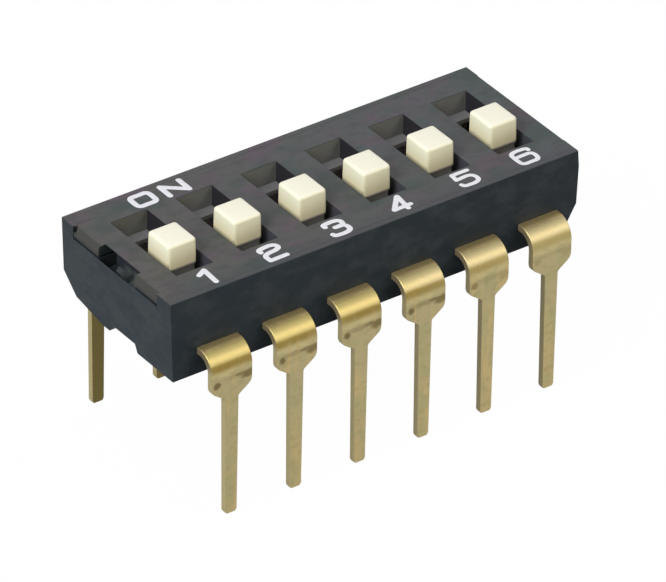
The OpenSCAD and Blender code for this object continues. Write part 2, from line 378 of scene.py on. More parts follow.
@dataclass(frozen=True)
class MouldedPlastic:
    """Dark matte thermoplastic with fine grain, faint mottling, and painted light and shade in recesses and
    seam.
    """

    name: str
    part: Moulding
    left: Colour = (0.0152, 0.0245, 0.032)
    right: Colour = (0.0125, 0.0192, 0.0248)
    # painted light that fills the shade in the channels under the cover
    painted_light_cavity: Colour = (0.34, 0.33, 0.37)
    top_left: Colour = (0.094, 0.093, 0.09)
    top_right: Colour = (0.08, 0.089, 0.096)
    # painted shade along the front edge of the top
    painted_shade_front_rim: Colour = (0.06, 0.064, 0.076)
    # painted light on the walls of the seam, over the gap's shade
    seam: Colour = (0.2, 0.19, 0.185)
    lip: Colour = (0.057, 0.058, 0.054)
    lip_foot: Colour = (0.034, 0.035, 0.035)
    # painted shade and light in the latch window
    window: Colour = (0.036, 0.042, 0.051)
    window_painted_light: Colour = (0.17, 0.19, 0.195)
    window_painted_shade: Colour = (0.026, 0.032, 0.034)
    plain_wall: Colour = (0.07, 0.068, 0.066)
    # painted light on the back walls and ledges of the slots, painted shade on their right walls that fades
    # toward the front
    painted_light_back_left: Colour = (0.17, 0.175, 0.148)
    painted_light_back_right: Colour = (0.2, 0.205, 0.188)
    painted_shade_side_wall: Colour = (0.028, 0.026, 0.033)
    side_front: Colour = (0.065, 0.068, 0.085)
    painted_light_ledge: Colour = (0.2, 0.2, 0.208)
    plum: Layer = Layer(Noise(0.7, 4.0, stretch=DRIFT), (0.102, 0.08, 0.104), 0.45, 0.67, 0.9)
    slate: Layer = Layer(Noise(0.42, stretch=DRIFT), (0.054, 0.076, 0.074), 0.48, 0.69, 0.9)
    dim: Layer = Layer(Noise(1.7, 5.0, 0.7, DRIFT), (0.062, 0.062, 0.063), 0.45, 0.65, 0.5)
    shade: Noise = Noise(0.9, 4.0, 0.65, (1.0, 1.0, 1.6), (3.0, 1.0, 0.0))
    mottle: Layer = Layer(shade, (0.033, 0.042, 0.05), 0.4, 0.66, 0.8)
    grain: Noise = Noise(14.0, 4.0, 0.7)
    speck: Layer = Layer(grain, (0.17, 0.175, 0.18), 0.58, 0.8, 0.1)
    flow: Noise = Noise(2.0, stretch=(0.8, 1.5, 1.5))
    # where the colours change along X, Y and Z
    row_x: Triple = (-8.0, -7.0, 7.5)
    rim_y: Span = (-2.3, -3.1)
    back_x: Span = (-6.0, -3.0)
    beside_y: Span = (-0.5, -1.1)
    lips_x: Span = (7.5, 7.3)
    channel_z: Span = (6.0, 6.1)
    window_y: Span = (1.04, 1.02)
    window_left: Span = (-8.04, -8.0)
    window_right: Span = (-7.2, -7.3)
    ahead_y: Span = (0.7, 0.1)
    # the same as depths below the cover's face
    face: Span = (0.03, 0.01)
    seam_h: Span = (0.08, 0.06)
    lip_darkening: Span = (0.2, 0.38)
    wall_shade: Span = (0.2, 0.7)
    window_top: Span = (0.02, 0.06)
    window_floor: Span = (1.0, 0.95)
    window_low: Span = (0.6, 0.85)
    edge_z: float = 0.02
    # the same as distances in from the housing's end and side faces
    seam_w: Point = (0.9, 0.25)
    seam_clear: Point = (0.08, 0.04)
    edge_w: Point = (0.09, 0.07)
    cavity_x: Span = (0.75, 0.8)
    cavity_y: Span = (0.15, 0.2)
    gloss: float = 0.15
    roughness: float = 0.44
    bump_mm: float = 0.006
    edge_mm: float = 0.035

    def make(self) -> bpy.types.Material:
        """Builds the material.

        Returns:
            The plastic of this moulding, with painted light and shade in its recesses and painted light on
            its seam.
        """
        graph = Graph(bpy.data.materials.new(self.name))
        along = graph.axis("X")
        end, near_end, far_end = self.row_x
        share = along.ramp(end, near_end) * 0.3 + along.ramp(near_end, far_end) * 0.7
        top = graph.mix(share, self.top_left, self.top_right)
        for layer in (self.plum, self.slate, self.dim):
            top = graph.lay(top, layer)
        # painted shade, darker towards the top's front edge
        top = graph.mix(graph.axis("Y").ramp(*self.rim_y) * 0.6, top, self.painted_shade_front_rim)
        if self.part is Moulding.COVER:
            sides = self._recesses(graph)
        else:
            sides = graph.lay(graph.mix(share, self.left, self.right), self.mottle)
            # painted light in the channels under the cover
            sides = graph.mix(self._inside(graph), sides, self.painted_light_cavity)
        base = graph.mix(graph.depth(*self.face), sides, top)
        # painted light on the seam
        base = graph.mix(self._at_seam(graph), base, self.seam)
        # painted light and shade in the latch window
        base = graph.mix(self._in_window(graph), base, self._window_colour(graph))
        base = graph.lay(base, self.speck)
        grain, flow = graph.noise(self.grain), graph.noise(self.flow)
        rough = flow * 0.12 + self.roughness + grain * 0.08
        soft_edges = graph.rounded(self.edge_mm, self._free_edges(graph))
        normal = graph.bump(grain * 0.7 + flow * 0.3, self.bump_mm, soft_edges)
        return graph.surface(Base_Color=base, Roughness=rough, Normal=normal, Specular_IOR_Level=self.gloss)

    def _at_seam(self, graph: Graph) -> Wire:
        """Finds the topmost edge of the walls where case and cover meet, where painted light covers the
        gap's shade.

        Args:
            graph: The material's nodes.

        Returns:
            A mask that is 1 there.
        """
        upright = graph.facing("Z").ramp(0.6, 0.4) * graph.depth(*self.seam_h)
        along, across = (abs(graph.axis(name)) for name in "XY")
        near = (across > CASE_HIGH.y - self.seam_w[1]) | (along > CASE_HIGH.x - self.seam_w[0])
        clear = (across < CASE_HIGH.y - self.seam_clear[1]) * (along < CASE_HIGH.x - self.seam_clear[0])
        return upright * near * clear

    def _free_edges(self, graph: Graph) -> Wire:
        """Finds the edges away from the seam between the case and its cover, which stays crisp.

        Args:
            graph: The material's nodes.

        Returns:
            A mask that is 1 there.
        """
        if self.part is Moulding.COVER:
            return graph.axis("Z") < TOP_Z - self.edge_z
        across = abs(graph.axis("Y")) > CASE_HIGH.y - self.edge_w[1]
        return across | (abs(graph.axis("X")) > CASE_HIGH.x - self.edge_w[0])

    def _recesses(self, graph: Graph) -> Wire:
        """Colours the lips, darker towards their foot, and paints light and shade on the walls of the slots.

        Args:
            graph: The material's nodes.

        Returns:
            The cover's colour below its face.
        """
        # the lips get darker towards their foot
        lip = graph.mix(graph.depth(*self.lip_darkening), self.lip, self.lip_foot)
        # painted light on the back walls of the slots
        back = graph.mix(graph.axis("X").ramp(*self.back_x), self.painted_light_back_left, self.painted_light_back_right)
        back = graph.mix(graph.depth(*self.wall_shade) * 0.5, back, self.painted_light_ledge)
        walls = graph.mix(graph.faces("Y", -1), self.plain_wall, back)
        # painted shade on the right walls of the slots, fading toward the front
        painted_shade_beside = graph.mix(graph.axis("Y").ramp(*self.beside_y), self.painted_shade_side_wall, self.side_front)
        walls = graph.mix(graph.faces("X", -1), walls, painted_shade_beside)
        # painted light on the ledges
        walls = graph.mix(graph.faces("Z"), walls, self.painted_light_ledge)
        return graph.mix(abs(graph.axis("X")).ramp(*self.lips_x), lip, walls)

    def _inside(self, graph: Graph) -> Wire:
        """Finds the walls and floors of the channels under the cover, where light is painted.

        Args:
            graph: The material's nodes.

        Returns:
            A mask that is 1 there.
        """
        across = abs(graph.axis("Y")).ramp(*(CASE_HIGH.y - inset for inset in self.cavity_y))
        along = abs(graph.axis("X")).ramp(*(CASE_HIGH.x - inset for inset in self.cavity_x))
        return across * along * graph.axis("Z").ramp(*self.channel_z)

    def _in_window(self, graph: Graph) -> Wire:
        """Finds the inside of the latch window at the left end, where light and shade are painted.

        Args:
            graph: The material's nodes.

        Returns:
            A mask that is 1 there.
        """
        across = abs(graph.axis("Y")).ramp(*self.window_y)
        inside = graph.axis("X").ramp(*self.window_left) * graph.axis("X").ramp(*self.window_right)
        return graph.depth(*self.window_top) * across * inside * graph.depth(*self.window_floor)

    def _window_colour(self, graph: Graph) -> Wire:
        """Paints light and shade in the latch window.

        Args:
            graph: The material's nodes.

        Returns:
            Painted shade on the sideways faces behind the back lip, painted light low down toward the
            window's front end.
        """
        ahead = graph.axis("Y").ramp(*self.ahead_y)
        low = graph.depth(*self.window_low)
        sideways = abs(graph.facing("Y")).ramp(0.4, 0.6)
        colour = graph.mix(sideways, self.window, self.window_painted_shade)
        return graph.mix(ahead * (low | sideways), colour, self.window_painted_light)


@dataclass(frozen=True)
class IvoryPlastic:
    """Smooth ivory moulding, with painted light on its left faces and painted shade toward its foot and
    under the cover.
    """

    name: str = "ivory_moulding"
    # the top, the left faces and the other sides are lit and shaded copies of the ivory, with painted light
    # on the left faces
    colour: Colour = linear(247, 245, 229)
    side: Colour = linear(253, 250, 216)
    left: Colour = linear(254, 254, 230)
    # painted shade: deeper toward the foot, dimmer at the foot of the left faces, dark grey below the cover
    deep: Colour = linear(238, 227, 187)
    dim: Colour = linear(176, 170, 140)
    painted_shade_under_cover: Colour = linear(133, 131, 127)
    clouds: Noise = Noise(1.6, 2.0)
    grain: Noise = Noise(22.0, 3.0, 0.6)
    leftward: Span = (-0.4, -0.8)
    upward: Span = (0.35, 0.95)
    # where the colours change, as depths below the cover's face
    foot: Span = (-0.72, 0.05)
    contact_shade: Span = (-0.16, 0.04)
    under_cover: Span = (0.08, 0.18)
    roughness: float = 0.36
    bump_mm: float = 0.0025

    def make(self) -> bpy.types.Material:
        """Builds the material.

        Returns:
            The ivory plastic, with painted shade that makes it deeper and dimmer toward the foot.
        """
        graph = Graph(bpy.data.materials.new(self.name))
        # painted light on the left faces
        on_left = graph.facing("X").ramp(*self.leftward)
        sides = graph.mix(on_left, self.side, self.left)
        # painted shade, deeper in colour toward the foot
        sides = graph.mix(graph.depth(*self.foot) * 0.8 + graph.noise(self.clouds) * 0.1, sides, self.deep)
        # painted shade on the left faces where they meet the cover's face
        sides = graph.mix(on_left * graph.depth(*self.contact_shade), sides, self.dim)
        # the top faces take the top's lit copy of the colour
        base = graph.mix(graph.facing("Z").ramp(*self.upward), sides, self.colour)
        # painted shade below the cover's face
        base = graph.mix(graph.depth(*self.under_cover), base, self.painted_shade_under_cover)
        grain = graph.noise(self.grain)
        rough = grain * 0.1 + self.roughness
        return graph.surface(Base_Color=base, Roughness=rough, Normal=graph.bump(grain, self.bump_mm))


class Polish(Enum):
    """How a gold-plated piece was worked."""

    BENT = "bent"
    FLAT = "flat"


@dataclass(frozen=True)
class Dent:
    """A soft oval dent on a shoulder.

    Attributes:
        x, z: Its middle, from the middle of the strip and from the cover's face.
        wide, high: Half its width and height.
        deep: Its depth, as a share.
        wander_x, wander_z: How much a noise shifts it sideways and upwards.
        lean: How much it rises for each millimetre to the right.
        broken: Whether it comes and goes along the row.
    """

    x: float
    z: float
    wide: float
    high: float
    deep: float = 1.0
    wander_x: float = 0.0
    wander_z: float = 1.0
    lean: float = 0.0
    broken: bool = False


@dataclass(frozen=True)
class GoldPlate:
    """Gold-plated strip: bright on the bend, duller and brushed down the legs, with tool marks and painted
    reflections, sheen and shade.
    """

    name: str
    work: Polish
    bend: Colour = linear(175, 160, 104)
    bend_right: Colour = linear(177, 164, 122)
    # painted light on the top of the strip by the wall
    wall: Colour = linear(226, 203, 146)
    # painted reflections on the bend: the horizon as a brown band, the floor as a pale band
    painted_horizon_reflection: Colour = linear(142, 121, 62)
    painted_horizon_reflection_right: Colour = linear(166, 150, 98)
    pale: Colour = linear(188, 173, 125)
    dull: Colour = linear(172, 159, 118)
    foot: Colour = linear(175, 158, 113)
    cut_edge: Colour = linear(176, 164, 120)
    cut_dark: Colour = linear(132, 122, 88)
    cut_wall: Colour = linear(124, 111, 86)
    # painted shade on the faces that turn in toward the housing
    inner: Colour = linear(92, 81, 40)
    stain: Colour = linear(100, 81, 44)
    clouds: Noise = Noise(1.3)
    brushed: Noise = Noise(1.6, 4.0, 0.6, (9.0, 9.0, 0.7))
    streaks: Noise = Noise(4.0, 2.0, stretch=(1.0, 1.0, 0.12), move=(0.7, 0.0, 0.0))
    patches: Noise = Noise(3.0, 3.0, 0.6, (1.0, 1.0, 1.5), (4.0, 0.0, 0.0))
    green: Layer = Layer(clouds, linear(162, 155, 112), 0.44, 0.6, 0.7)
    tan: Layer = Layer(streaks, linear(186, 165, 116), 0.5, 0.68, 0.8)
    patch: Layer = Layer(patches, linear(146, 137, 96), 0.5, 0.66, 0.4)
    # painted sheen along the brushed grain
    painted_sheen: Layer = Layer(brushed, pale, 0.45, 0.8, 0.15)
    wobble: Noise = Noise(5.0, 2.0)
    breaks: Noise = Noise(0.37, 1.0)
    # where the colours change along X and Z
    bend_x: Span = (-1.5, 2.5)
    painted_horizon_reflection_x: Span = (-0.5, 6.4)
    leg_z: Span = (5.9, 5.3)
    foot_z: Span = (3.6, 1.0)
    cut_z: Span = (5.5, 5.95)
    cut_x: Span = (-6.0, 6.0)
    worn_x: Span = (4.4, 2.6)
    # how far a face turns before it counts as an inner face or a cut edge
    inward: Span = (-0.5, -0.8)
    sideways: Span = (0.7, 0.9)
    front_y: float = -3.8
    dents: tuple[Dent, ...] = (
        Dent(-0.58, -3.1, 0.13, 0.13, wander_x=1.0, wander_z=0.6),
        Dent(0.62, -3.13, 0.26, 0.15, deep=0.9, lean=0.15),
        Dent(0.4, -2.96, 0.36, 0.06, deep=0.8, wander_x=1.0, wander_z=0.5),
        Dent(0.1, -2.98, 0.75, 0.1, deep=0.4, broken=True),
    )
    roughness: float = 0.38
    bump_mm: float = 0.005

    def make(self) -> bpy.types.Material:
        """Builds the material.

        Returns:
            The plated metal, with its cut edges, its marks, a painted sheen and painted shade on its inner
            faces.
        """
        graph = Graph(bpy.data.materials.new(self.name))
        clouds, brushed = graph.noise(self.clouds), graph.noise(self.brushed)
        if self.work is Polish.BENT:
            base, marks = self._worked(graph, clouds), self._marks(graph)
        else:
            base, marks = graph.mix(clouds, self.bend, self.dull), clouds.ramp(0.8, 0.9)
        below = graph.axis("Z").ramp(*self.leg_z)
        for layer in (self.green, self.tan, self.patch):
            base = graph.lay(base, layer, below)
        # painted sheen along the brushed grain
        base = graph.lay(base, self.painted_sheen)
        # painted shade on the faces that turn in toward the housing
        across = graph.axis("Y")
        inwards = (across / abs(across)) * graph.facing("Y")
        base = graph.mix(inwards.ramp(*self.inward) * 0.9, base, self.inner)
        cut_face = abs(graph.facing("X")).ramp(*self.sideways)
        edge = graph.mix(graph.axis("X").ramp(*self.cut_x), self.cut_edge, self.cut_dark)
        edge = graph.mix(graph.axis("Z").ramp(*self.cut_z), edge, self.cut_wall)
        base = graph.mix(cut_face, base, edge)
        base = graph.mix(marks * 0.8, base, self.stain)
        rough = brushed * 0.12 + cut_face * 0.2 + self.roughness
        normal = graph.bump(brushed * 0.6 + clouds * 0.4 - marks, self.bump_mm)
        metal = 1 - cut_face * 0.7
        return graph.surface(Base_Color=base, Metallic=metal, Roughness=rough, Normal=normal)

    def _worked(self, graph: Graph, clouds: Wire) -> Wire:
        """Colours a bent strip from the wall over the bend to the tip, with painted light by the wall and
        painted reflections in bands on the bend.

        Args:
            graph: The material's nodes.
            clouds: A soft noise that makes the borders waver.

        Returns:
            The colour.
        """
        height = graph.axis("Z") + (clouds - 0.5) * 0.05
        along = graph.axis("X")
        strip_z = corners("terminal_front_1")[1].z
        bend = graph.mix(along.ramp(*self.bend_x), self.bend, self.bend_right)
        painted_horizon_reflection = graph.mix(along.ramp(*self.painted_horizon_reflection_x), self.painted_horizon_reflection, self.painted_horizon_reflection_right)
        # painted light by the wall, the bend's own colour, painted reflections of the horizon and the floor,
        # then the leg's dull colour
        bands = ((0.002, 0.05, bend), (0.31, 0.42, painted_horizon_reflection), (0.5, 0.74, self.pale), (0.8, 0.9, self.dull))
        base = self.wall
        for start, full, colour in bands:
            base = graph.mix(height.ramp(strip_z - start, strip_z - full), base, colour)
        return graph.mix(height.ramp(*self.foot_z), base, self.foot)

    def _marks(self, graph: Graph) -> Wire:
        """Places the small dents that the bending tool left on each shoulder.

        Args:
            graph: The material's nodes.

        Returns:
            How deep the dents are, from 0 to 1.
        """
        shift = centre_x(1) + 0.5 * PITCH
        across = (graph.axis("X") - shift) / PITCH + 8.0  # whole pitches keep it above zero
        local = (across.math("FRACT") - 0.5) * PITCH
        height = graph.axis("Z") - TOP_Z
        wobble = (graph.noise(self.wobble) - 0.5) * 0.16
        marks = None
        for dent in self.dents:
            dx = (local + wobble * dent.wander_x - dent.x) / dent.wide
            dz = (height + wobble * dent.wander_z - local * dent.lean - dent.z) / dent.high
            mark = (dx * dx + dz * dz).ramp(1.8, 0.2)
            if dent.broken:
                mark = mark * graph.noise(self.breaks).ramp(0.3, 0.6)
            mark = mark * dent.deep
            marks = mark if marks is None else marks | mark
        worn = graph.axis("X").ramp(*self.worn_x) * 0.7 + 0.3
        return marks * worn * (graph.axis("Y") < self.front_y)


@dataclass(frozen=True)
class PrintInk:
    """White pad-printed ink with slightly uneven cover."""

    name: str = "white_print"
    colour: Colour = linear(229, 231, 240)
    thin: Layer = Layer(Noise(9.0, 4.0, 0.65), linear(186, 190, 204), 0.5, 0.8, 0.35)
    roughness: float = 0.55

    def make(self) -> bpy.types.Material:
        """Builds the material."""
        graph = Graph(bpy.data.materials.new(self.name))
        return graph.surface(Base_Color=graph.lay(self.colour, self.thin), Roughness=self.roughness)


# ---- modelling tools


# how near and how well aligned an element has to be to count, and how near two vertices merge
NEAR = 0.01
ALONG = 0.85
DOUBLE_M = 1e-7


class Workpiece:
    """A mesh that is shaped with edit-mode operators, with what they act on chosen by place."""

    def __init__(self, obj: bpy.types.Object) -> None:
        """Opens the object in edit mode with nothing selected.

        Args:
            obj: The mesh object to shape.
        """
        self.obj = obj
        bpy.ops.object.mode_set(mode="EDIT")
        bpy.ops.mesh.select_all(action="DESELECT")

    @staticmethod
    def box(name: str, low: Sequence[float], high: Sequence[float]) -> "Workpiece":
        """Adds a box between two corners, ready to be shaped.

        Args:
            name: The object's name.
            low: Its lowest corner.
            high: Its highest corner.

        Returns:
            The box, open in edit mode.
        """
        bpy.ops.object.select_all(action="DESELECT")
        middle = [(a + b) / 2 * MM for a, b in zip(low, high)]
        bpy.ops.mesh.primitive_cube_add(size=1.0, location=middle)
        obj = bpy.context.object
        obj.name = name
        obj.dimensions = [(b - a) * MM for a, b in zip(low, high)]
        bpy.ops.object.transform_apply(location=True, rotation=False, scale=True)
        return Workpiece(obj)

    def pick(self, mode: str, test: Callable[[Vector, Vector], bool]) -> None:
        """Selects faces or edges.

        Args:
            mode: FACE or EDGE.
            test: Whether an element is wanted, from its middle and its normal or line.
        """
        bpy.ops.mesh.select_mode(type=mode)
        bpy.ops.mesh.select_all(action="DESELECT")
        mesh = bmesh.from_edit_mesh(self.obj.data)
        for item in mesh.faces if mode == "FACE" else mesh.edges:
            if mode == "FACE":
                middle, direction = item.calc_center_median(), item.normal
            else:
                ends = [vertex.co for vertex in item.verts]
                middle, direction = (ends[0] + ends[1]) / 2, (ends[1] - ends[0]).normalized()
            if test(middle / MM, direction):
                item.select_set(True)
        mesh.select_flush_mode()
        bmesh.update_edit_mesh(self.obj.data)

    def extrude(self, x: float = 0.0, y: float = 0.0, z: float = 0.0) -> None:
        """Extrudes the selection along the axes."""
        move = {"value": (x * MM, y * MM, z * MM)}
        bpy.ops.mesh.extrude_region_move(TRANSFORM_OT_translate=move)

    def scale(self, x: float, y: float, z: float, centre: Sequence[float]) -> None:
        """Scales the selection about a centre."""
        middle = tuple(part * MM for part in centre)
        bpy.ops.transform.resize(value=(x, y, z), center_override=middle)

    def bevel(self, width: float, segments: int) -> None:
        """Bevels the selected edges by a width."""
        bpy.ops.mesh.bevel(offset=width * MM, segments=segments, affect="EDGES")

    def close(self) -> bpy.types.Object:
        """Leaves edit mode."""
        bpy.ops.object.mode_set(mode="OBJECT")
        return self.obj


def choose(*objects: bpy.types.Object) -> None:
    """Selects only these objects.

    Args:
        objects: The objects, of which the first becomes the active one.
    """
    bpy.ops.object.select_all(action="DESELECT")
    for obj in objects:
        obj.select_set(True)
    bpy.context.view_layer.objects.active = objects[0]


def finish_piece(obj: bpy.types.Object, smooth_deg: float) -> bpy.types.Object:
    """Merges doubles, turns the faces outwards and smooths the gentle edges.

    Args:
        obj: The piece.
        smooth_deg: The sharpest edge that is still shaded smooth.

    Returns:
        The piece.
    """
    choose(obj)
    bpy.ops.object.mode_set(mode="EDIT")
    bpy.ops.mesh.select_all(action="SELECT")
    bpy.ops.mesh.remove_doubles(threshold=DOUBLE_M)
    bpy.ops.mesh.normals_make_consistent(inside=False)
    bpy.ops.object.mode_set(mode="OBJECT")
    bpy.ops.object.shade_smooth_by_angle(angle=math.radians(smooth_deg))
    return obj


def apply_bevel(obj: bpy.types.Object, width: float, segments: int, angle_deg: float) -> None:
    """Rounds the sharp edges of a piece with a Bevel modifier, and applies it.

    Args:
        obj: The piece.
        width: The width of the rounding.
        segments: How many faces go round it.
        angle_deg: The gentlest edge that is still rounded.
    """
    choose(obj)
    rounding = obj.modifiers.new("rounding", "BEVEL")
    rounding.width = width * MM
    rounding.segments = segments
    rounding.limit_method = "ANGLE"
    rounding.angle_limit = math.radians(angle_deg)
    bpy.ops.object.modifier_apply(modifier="rounding")


def join(parts: Sequence[bpy.types.Object], name: str) -> bpy.types.Object:
    """Joins several objects into one.

    Args:
        parts: The objects.
        name: The name of the joined one.

    Returns:
        The joined object.
    """
    choose(*parts)
    bpy.ops.object.join()
    parts[0].name = name
    parts[0].data.name = name
    return parts[0]


def copy_along(obj: bpy.types.Object, name: str, move: float) -> bpy.types.Object:
    """Copies a piece with its own mesh, and moves the copy's mesh along the row.

    Args:
        obj: The piece.
        name: The copy's name.
        move: How far it moves along X.

    Returns:
        The copy.
    """
    twin = obj.copy()
    twin.data = obj.data.copy()
    twin.name = name
    twin.data.name = name
    twin.data.transform(Matrix.Translation((move * MM, 0, 0)))
    bpy.context.collection.objects.link(twin)
    return twin


def dress(obj: bpy.types.Object, material: bpy.types.Material) -> None:
    """Gives a piece one material all over."""
    obj.data.materials.clear()
    obj.data.materials.append(material)


# ---- sub-assemblies


@dataclass
class Housing:
    """The moulded tray and its cover, which keep their solids."""

    case: MouldedPlastic = MouldedPlastic("case_plastic", Moulding.CASE)
    cover: MouldedPlastic = MouldedPlastic("cover_plastic", Moulding.COVER)

    def build(self) -> None:
        """Dresses the two mouldings."""
        dress(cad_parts["housing_base"], self.case.make())
        dress(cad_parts["housing_cover"], self.cover.make())
        log.info("housing dressed")


@dataclass
class Actuators:
    """Six sliding actuators, each a knob on a stem, a guide plate, two skids and a peg."""

    foot: Point = (1.12, 1.23)
    top: Point = (1.1, 1.21)
    rise: float = 0.76
    skirt: float = 0.19
    left: float = 0.1
    stem: Point = (0.86, 0.99)
    plate_t: float = 0.5
    skid_w: float = 0.3
    peg: tuple[Point, Point] = ((0.2, 0.12), (0.32, 0.1))
    sunk: float = 0.02
    skid_sunk: float = 0.05
    rounding: float = 0.12
    plate_edge: float = 0.05
    skid_edge: float = 0.06
    smooth_deg: float = 32
    finish: IvoryPlastic = IvoryPlastic()

    def __post_init__(self) -> None:
        """Takes the guide plate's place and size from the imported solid."""
        low, high = corners("slider_1")
        self.middle_y = (low.y + high.y) / 2
        self.skid_z = low.z
        self.plate = (high.x - low.x, high.y - low.y)
        self.plate_z = corners("contact_1")[1].z

    def _block(self, name: str, size: Point, z0: float, z1: float, x: float = 0.0) -> Workpiece:
        """Adds a box on the actuator's own middle line.

        Args:
            name: The box's name.
            size: Its width and its length.
            z0: The height of its lower face.
            z1: The height of its upper face.
            x: How far it stands to the right of the middle.

        Returns:
            The box, open in edit mode.
        """
        low = (x - size[0] / 2, self.middle_y - size[1] / 2, z0)
        high = (x + size[0] / 2, self.middle_y + size[1] / 2, z1)
        return Workpiece.box(name, low, high)

    def knob(self) -> bpy.types.Object:
        """Models the knob: a straight foot, leaning sides and softly rounded edges.

        Returns:
            The knob.
        """
        foot_z, top_z = TOP_Z - self.skirt, TOP_Z + self.rise
        work = self._block("knob", self.foot, foot_z, TOP_Z, -self.left)
        work.pick("FACE", lambda middle, normal: normal.z > ALONG)
        work.extrude(z=self.rise)
        centre = (-self.left, self.middle_y, top_z)
        work.scale(self.top[0] / self.foot[0], self.top[1] / self.foot[1], 1.0, centre)
        work.pick("EDGE", lambda middle, line: middle.z > top_z - NEAR or abs(line.z) > ALONG)
        work.bevel(self.rounding, 5)
        return work.close()

    def carriage(self) -> list[bpy.types.Object]:
        """Models what the cover hides: stem, guide plate, skids and peg.

        Returns:
            The parts, each an object of its own.
        """
        parts = []
        plate_top = self.plate_z + self.plate_t
        stem_z = (plate_top - self.sunk, TOP_Z - self.skirt + self.sunk)
        parts.append(self._block("stem", self.stem, *stem_z).close())
        work = self._block("plate", self.plate, self.plate_z, plate_top)
        work.pick("EDGE", lambda middle, line: True)
        work.bevel(self.plate_edge, 2)
        parts.append(work.close())
        for side in (-1, 1):
            x = side * (self.plate[0] - self.skid_w) / 2
            size = (self.skid_w, self.plate[1])
            work = self._block("skid", size, self.skid_z, self.plate_z + self.skid_sunk, x)
            work.pick("EDGE", lambda middle, line: middle.z < self.skid_z + NEAR)
            work.bevel(self.skid_edge, 2)
            parts.append(work.close())
        high = self.plate_z + self.sunk
        for radius, depth in self.peg:
            place = (0, self.middle_y * MM, (high - depth / 2) * MM)
            bpy.ops.mesh.primitive_cylinder_add(
                vertices=24, radius=radius * MM, depth=depth * MM, location=place
            )
            high -= depth
            bpy.ops.object.transform_apply(location=True, rotation=False, scale=False)
            parts.append(bpy.context.object)
        return parts

    def build(self) -> None:
        """Models one actuator and copies it along the row."""
        first = join([self.knob(), *self.carriage()], "actuator_master")
        finish_piece(first, self.smooth_deg)
        dress(first, self.finish.make())
        for number in SWITCHES:
            piece = copy_along(first, f"sliding_actuator_{number}", centre_x(number))
            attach(piece, f"actuator_{number}")
            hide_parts(f"slider_{number}")
        bpy.data.objects.remove(first)
        log.info("six actuators built")


@dataclass
class Terminals:
    """Twelve terminals of bent strip: pad, bend, shoulder and tapering leg."""

    wall_y: float = 3.09
    strip_t: float = 0.25
    outer_r: float = 0.69
    shoulder: float = 0.79
    corner_z: float = 5.05
    corner_r: float = 0.34
    slope_deg: float = 36.0
    fillet_r: float = 0.12
    leg: float = 0.265
    tip: float = 0.23
    tip_rings: tuple[Point, ...] = ((0.4, 0.0), (0.12, 0.0), (0.04, 0.03), (0.0, 0.09))
    pad: float = 0.6
    neck: float = 0.03
    buried: float = 0.3
    bend_steps: int = 16
    corner_steps: int = 6
    edge: float = 0.03
    edge_deg: float = 38
    smooth_deg: Point = (40, 50)
    finish: GoldPlate = GoldPlate("gold_terminal", Polish.BENT)

    def __post_init__(self) -> None:
        """Takes the strip's height and the pads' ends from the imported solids."""
        low, high = corners("terminal_front_1")
        self.strip_z = high.z
        self.face_y = -low.y
        self.front_pad_end = high.y
        self.back_pad_end = corners("terminal_back_1")[0].y

    def sides(self) -> list[Point]:
        """Works out the outline of one side below the bend.

        Returns:
            Heights with half widths, from the shoulder down to the tip.
        """
        turn = math.radians(90 - self.slope_deg)
        steps = [turn * step / self.corner_steps for step in range(self.corner_steps + 1)]
        bends = [(math.sin(angle), 1 - math.cos(angle)) for angle in steps]
        corner, fillet = self.corner_r, self.fillet_r
        outline = [(self.corner_z - corner * down, self.shoulder - corner * back) for down, back in bends]
        last_z, last_half = outline[-1]
        start_half = self.leg + fillet * bends[-1][1]
        start_z = last_z - (last_half - start_half) * math.tan(math.radians(self.slope_deg))
        foot_z = start_z - fillet * bends[-1][0]
        outline += [(foot_z + fillet * up, self.leg + fillet * out) for up, out in reversed(bends)]
        return outline + [(height, self.tip - inset) for height, inset in self.tip_rings]

    def shape(self, name: str, pad_end: float) -> bpy.types.Object:
        """Models one terminal bent down in front.

        Args:
            name: Its name.
            pad_end: Where its pad ends inside the housing.

        Returns:
            The terminal, in the middle of the row.
        """
        low_z = self.strip_z - self.strip_t
        inner_y = -self.wall_y + self.buried
        work = Workpiece.box(name, (-self.pad, inner_y, low_z), (self.pad, pad_end, self.strip_z))
        work.pick("FACE", lambda middle, normal: normal.y < -ALONG)
        work.extrude(y=-self.neck)
        work.scale(self.shoulder / self.pad, 1, 1, (0, inner_y, low_z))
        bend_y = -self.face_y + self.outer_r
        work.extrude(y=bend_y - inner_y + self.neck)
        bend_z = self.strip_z - self.outer_r
        bpy.ops.mesh.spin(
            steps=self.bend_steps, angle=-math.pi / 2, center=(0, bend_y * MM, bend_z * MM), axis=(1, 0, 0)
        )
        # the face at the end of the bend is picked again, whatever the spin has left selected
        work.pick("FACE", lambda middle, normal: normal.z < -ALONG and abs(middle.z - bend_z) < 2 * NEAR)
        height, half = bend_z, self.shoulder
        for next_z, next_half in self.sides():
            work.extrude(z=next_z - height)
            work.scale(next_half / half, 1, 1, (0, -self.face_y, next_z))
            height, half = next_z, next_half
        obj = work.close()
        finish_piece(obj, self.smooth_deg[0])
        apply_bevel(obj, self.edge, 2, self.edge_deg)
        return finish_piece(obj, self.smooth_deg[1])

    def build(self) -> None:
        """Models a front and a back terminal and copies each along the row."""
        material = self.finish.make()
        front = self.shape("front_master", self.front_pad_end)
        back = self.shape("back_master", -self.back_pad_end)
        back.data.transform(Matrix.Rotation(math.pi, 4, "Z"))
        for side, master in (("front", front), ("back", back)):
            dress(master, material)
            for number in SWITCHES:
                piece = copy_along(master, f"{side}_leg_{number}", centre_x(number))
                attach(piece, "housing")
                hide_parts(f"terminal_{side}_{number}")
            bpy.data.objects.remove(master)
        log.info("twelve terminals built")


